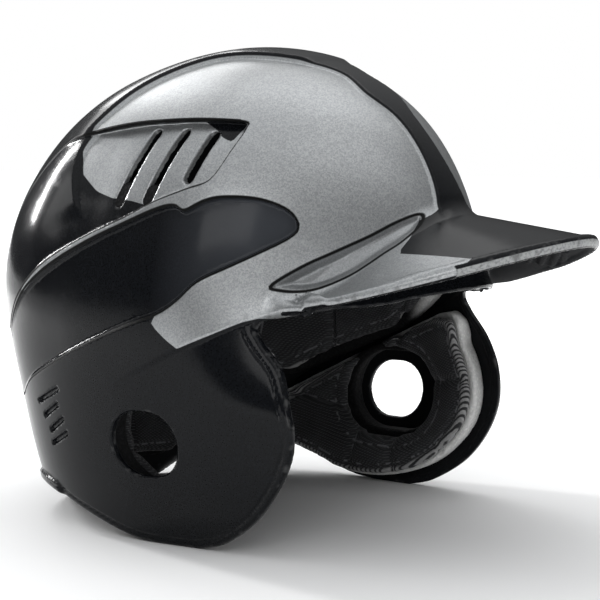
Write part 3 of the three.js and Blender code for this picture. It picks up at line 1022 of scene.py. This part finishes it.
def shell_plastic():
    m = Material("moulded_shell")
    silver = m.remap(m.attribute("paint"), -0.12, 0.12)
    strip = m.remap(m.attribute("strip"), -0.15, 0.15)
    inside = m.remap(m.attribute("depth"), 2.2, 3.0)
    # Painted shade: a thin near-black line along the outlines of the vent panel, teardrop and
    # scoop stands in for the shadow in their creases.
    nearest = 9.0
    for name in outline_views:
        distance = m.math("ABSOLUTE", m.attribute(name), 0.0)
        nearest = m.math("MINIMUM", distance, nearest)
    line = m.math("MULTIPLY", m.remap(nearest, 0.4, 0.8, 1.0, 0.0), m.remap(inside, 0, 1, 1, 0))
    flake = m.cells(1900, "Color")
    sparkle = m.add("ShaderNodeSeparateColor", {0: flake}).outputs[0]
    cloud = m.noise(30, 4.0)
    grain = m.noise(1500, 2.0)
    silver_tone = m.colour(sparkle, (0.27, 0.28, 0.287), (0.41, 0.42, 0.425))
    silver_tone = m.colour(m.remap(cloud, 0.3, 0.7, 0.0, 0.25), silver_tone, (0.30, 0.31, 0.32))
    # Painted shade: the silver darkens inside the temple scoop, standing in for the shade in the
    # recess.
    scoop = m.remap(m.attribute("scoop"), 0.0, -1.5)
    silver_tone = m.colour(m.math("MULTIPLY", scoop, 0.35), silver_tone, (0.18, 0.185, 0.19))
    black_tone = m.colour(m.remap(grain, 0.35, 0.7), (0.003, 0.0033, 0.004), (0.008, 0.009, 0.011))
    # Painted reflection: the black lightens over the front of the teardrop recess, standing in for
    # the lamps' reflection there.
    forward = m.add("ShaderNodeSeparateXYZ", {0: m.place}).outputs["Y"]
    pale = m.math("MULTIPLY", m.remap(m.attribute("teardrop"), 0.0, -1.5),
                  m.remap(forward, 0.006, -0.03))
    black_tone = m.colour(pale, black_tone, (0.036, 0.039, 0.045))
    scuff = m.remap(m.noise(220, 6.0), 0.56, 0.7)
    edge = m.remap(m.attribute("edge"), -1.6, -0.2)
    worn = m.math("MULTIPLY", m.math("MULTIPLY", scuff, edge), 0.6)
    fleck = m.remap(m.noise(900, 3.0), 0.3, 0.55)
    # The rim strip's light grey is partly the rim's own band and partly a painted highlight along
    # its rolled edge.
    rim_band_and_highlight_tone = m.colour(fleck, (0.18, 0.18, 0.185), (0.36, 0.37, 0.37))
    base = m.colour(silver, black_tone, silver_tone)
    base = m.colour(strip, base, rim_band_and_highlight_tone)
    base = m.colour(worn, base, (0.09, 0.09, 0.09))
    # The painted crease shade goes over everything else.
    base = m.colour(line, base, (0.003, 0.003, 0.003))
    light = m.math("MAXIMUM", silver, strip)
    rough = m.blend(light, m.remap(cloud, 0.3, 0.7, 0.13, 0.2), m.remap(grain, 0, 1, 0.28, 0.4))
    rough = m.blend(m.math("MAXIMUM", inside, line), rough, m.remap(grain, 0.2, 0.8, 0.6, 0.8))
    rough = m.math("ADD", rough, m.math("MULTIPLY", scuff, 0.06))
    metal = m.math("MULTIPLY", m.math("SUBTRACT", silver, line), 0.75)
    peel = m.bump(m.noise(330, 1.0), 0.12, 0.00012)
    flakes = m.bump(m.math("MULTIPLY", sparkle, silver), 0.10, 0.00008, peel)
    return m.surface(
        Base_Color=base, Roughness=rough, Metallic=m.math("MAXIMUM", metal, 0.0),
        Normal=flakes, Specular_IOR_Level=0.14)


def liner_foam():
    m = Material("impact_foam")
    cells = m.cells(700.0)
    fine = m.noise(2100, 3.0)
    cloud = m.noise(40, 4.0)
    pale = m.colour(m.remap(cells, 0.05, 0.6), (0.90, 0.90, 0.88), (0.70, 0.70, 0.69))
    pale = m.colour(m.remap(cloud, 0.35, 0.75, 0.0, 0.35), pale, (0.62, 0.62, 0.61))
    # Painted shade: the near-black foam stands in for the shade inside the helmet.
    dark = m.colour(m.remap(cells, 0.05, 0.6), (0.012, 0.012, 0.013), (0.004, 0.004, 0.0045))
    tone = m.colour(m.attribute("light"), dark, pale)
    normal = m.bump(fine, 0.3, 0.0002, m.bump(cells, 0.6, 0.0006))
    return m.surface(
        Base_Color=tone, Roughness=m.remap(fine, 0.2, 0.8, 0.75, 0.95), Normal=normal,
        Specular_IOR_Level=0.2)


def pad_fabric():
    m = Material("pad_fabric")
    wave = {"Vector": m.place, "Scale": 330.0, "Distortion": 1.2, "Detail": 2.0}
    across = m.add("ShaderNodeTexWave", wave, bands_direction="DIAGONAL").outputs["Fac"]
    turned = m.add("ShaderNodeMapping", {"Vector": m.place, "Rotation": (0.4, 1.2, 1.5)})
    wave["Vector"] = turned.outputs["Vector"]
    along = m.add("ShaderNodeTexWave", wave, bands_direction="DIAGONAL").outputs["Fac"]
    weave = m.math("MULTIPLY", across, along)
    fuzz = m.noise(2600, 2.0)
    cloud = m.noise(60, 4.0)
    stitched = m.math("ABSOLUTE", m.math("SUBTRACT", m.attribute("inset"), STITCH_INSET), 0.0)
    thread = m.remap(m.math("MINIMUM", m.attribute("seam"), stitched), 0.3, 0.6, 1.0, 0.0)
    dashes = m.remap(m.noise(420, 0.0), 0.48, 0.52)
    tone = m.colour(weave, (0.022, 0.0225, 0.024), (0.085, 0.087, 0.092))
    tone = m.colour(m.remap(cloud, 0.4, 0.8, 0.0, 0.3), tone, (0.10, 0.102, 0.107))
    tone = m.colour(m.math("MULTIPLY", thread, dashes), tone, (0.15, 0.152, 0.16))
    hatch = {"Vector": m.place, "Scale": 230.0, "Distortion": 1.2, "Detail": 2.0}
    ribs = m.add("ShaderNodeTexWave", hatch, bands_direction="DIAGONAL").outputs["Fac"]
    trim_tone = m.colour(m.remap(ribs, 0.25, 0.6), (0.03, 0.03, 0.032), (0.30, 0.30, 0.30))
    tone = m.colour(m.remap(m.attribute("trim"), -0.3, 0.3), tone, trim_tone)
    normal = m.bump(fuzz, 0.25, 0.0002, m.bump(weave, 0.7, 0.0005))
    return m.surface(
        Base_Color=tone, Roughness=m.remap(fuzz, 0.3, 0.7, 0.75, 0.95), Normal=normal,
        Sheen_Weight=0.08, Sheen_Roughness=0.5, Specular_IOR_Level=0.2)


MATERIALS = {"shell": shell_plastic(), "foam": liner_foam(), "fabric": pad_fabric()}

# ---- Build -------------------------------------------------------------------------------------

shell = finish_shell(*mesh_field(shell_field, near_shell, *SHELL_REGION, SHELL_VOXEL))
shell.data.materials.append(MATERIALS["shell"])
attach(shell, "root")
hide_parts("shell")

for kind, part in LINER.items():
    thickness = JAW_PAD_THICKNESS if kind == "jaw" else HEAD_PAD_THICKNESS
    sides = [("left", 1), ("right", -1)] if part["view"] == "side" else [("", part["way"])]
    for side, way in sides:
        stem = f"{kind}_{side}" if side else kind
        make_foam(f"{stem}_impact_foam", part, way, f"{stem}_foam")
        make_pad(f"{stem}_cushion", part, way, f"{stem}_pad", thickness)

# ---- Stage, camera and light -------------------------------------------------------------------

scene = bpy.context.scene

CAMERA_AZIMUTH = -55.0
CAMERA_PITCH = 5.3
CAMERA_DISTANCE = 800.0
CAMERA_TARGET = np.array([0.0, 2.1, 98.0])
FOCAL_PIXELS = 1750.0
IMAGE_PIXELS = 600
SENSOR = 36.0


def axes(azimuth, pitch):
    """Camera axes for a compass angle and a downward pitch: right, up and back."""
    a, e = math.radians(azimuth), math.radians(pitch)
    back = np.array([math.sin(a) * math.cos(e), -math.cos(a) * math.cos(e), math.sin(e)])
    right = np.array([math.cos(a), math.sin(a), 0.0])
    return right, np.cross(back, right), back


def place_facing(thing, azimuth, pitch, distance, target):
    right, up, back = axes(azimuth, pitch)
    where = (np.array(target) + distance * back) * MM
    rows = [(*(float(v) for v in (right[k], up[k], back[k], where[k])),) for k in range(3)]
    thing.matrix_world = Matrix((*rows, (0, 0, 0, 1)))


camera_data = bpy.data.cameras.new("camera")
camera_data.sensor_width = SENSOR
camera_data.lens = FOCAL_PIXELS / IMAGE_PIXELS * SENSOR
camera_data.clip_start = 0.01
camera = bpy.data.objects.new("camera", camera_data)
scene.collection.objects.link(camera)
place_facing(camera, CAMERA_AZIMUTH, CAMERA_PITCH, CAMERA_DISTANCE, CAMERA_TARGET)
scene.camera = camera


# Softboxes: azimuth, pitch, distance, size, watts and the place each is aimed at.
MIDDLE = (0, 10, 110)
SOFTBOXES = {
    "key": (95, 64, 1500, (1.4, 1.0), 4.0, MIDDLE),
    "key_rear": (156, 38, 1500, (0.5, 0.8), 2.8, MIDDLE),
    "front": (0, 50, 1600, (0.9, 0.6), 1.0, MIDDLE),
    "near_side": (-58, 28, 1500, (0.8, 0.4), 2.8, MIDDLE),
    "brow": (141, 28, 1500, (0.5, 0.4), 2.4, (-60, -60, 112)),
    "inner": (-36, 3, 1500, (0.5, 0.3), 1.6, (60, -20, 60)),
    "rear_side": (-157, 22, 1500, (0.5, 0.35), 1.2, MIDDLE),
    "strip": (178, 21, 1300, (0.07, 0.45), 9, MIDDLE),
}

for name, (azimuth, pitch, distance, size, watts, target) in SOFTBOXES.items():
    light_data = bpy.data.lights.new(name, "AREA")
    light_data.shape = "RECTANGLE"
    light_data.size, light_data.size_y = size
    light_data.energy = watts
    light = bpy.data.objects.new(name, light_data)
    scene.collection.objects.link(light)
    place_facing(light, azimuth, pitch, distance, target)

FLOOR_REACH = 6000
floor_corners = np.array([(-1, -1, 0), (1, -1, 0), (1, 1, 0), (-1, 1, 0)]) * FLOOR_REACH
floor = make_piece("floor", floor_corners, np.array([(0, 1, 2, 3)]))
paper = Material("paper")
tone = paper.colour(paper.noise(8, 3.0), (0.93, 0.93, 0.93), (0.96, 0.96, 0.96))
reach = paper.add("ShaderNodeVectorMath", {0: paper.place}, operation="LENGTH").outputs["Value"]
# The floor glows, a painted light: its emission rises from none within 0.17 m of the middle to
# 0.55 at 0.7 m, whitening the floor round the helmet's shadow.
floor.data.materials.append(paper.surface(
    Base_Color=tone, Roughness=0.9, Normal=paper.bump(paper.noise(900), 0.05, 0.0002),
    Specular_IOR_Level=0.0, Emission_Color=(1, 1, 1),
    Emission_Strength=paper.remap(reach, 0.17, 0.7, 0.0, 0.55)))

HORIZON_LIGHT = 0.06
OVERHEAD_LIGHT = 1.25


def studio_world():
    """A studio dim at the horizon and bright overhead; the backdrop the camera sees is white."""
    world = bpy.data.worlds.new("studio")
    world.use_nodes = True
    nodes, links = world.node_tree.nodes, world.node_tree.links

    def calculate(operation, value, *numbers):
        node = nodes.new("ShaderNodeMath")
        node.operation = operation
        links.new(value, node.inputs[0])
        for k, number in enumerate(numbers, start=1):
            node.inputs[k].default_value = number
        return node.outputs[0]

    split = nodes.new("ShaderNodeSeparateXYZ")
    links.new(nodes.new("ShaderNodeTexCoord").outputs["Generated"], split.inputs[0])
    rise = calculate("MAXIMUM", split.outputs["Z"], 0)
    strength = calculate(
        "MULTIPLY_ADD", calculate("POWER", rise, 2), OVERHEAD_LIGHT, HORIZON_LIGHT)
    studio = nodes["Background"]
    studio.inputs["Color"].default_value = (0.98, 0.99, 1, 1)
    links.new(strength, studio.inputs["Strength"])
    backdrop = nodes.new("ShaderNodeBackground")
    backdrop.inputs["Color"].default_value = (1, 1, 1, 1)
    mixed = nodes.new("ShaderNodeMixShader")
    paths = nodes.new("ShaderNodeLightPath")
    links.new(paths.outputs["Is Camera Ray"], mixed.inputs[0])
    links.new(studio.outputs[0], mixed.inputs[1])
    links.new(backdrop.outputs[0], mixed.inputs[2])
    links.new(mixed.outputs[0], nodes["World Output"].inputs["Surface"])
    return world


scene.world = studio_world()
scene.view_settings.view_transform = "Standard"
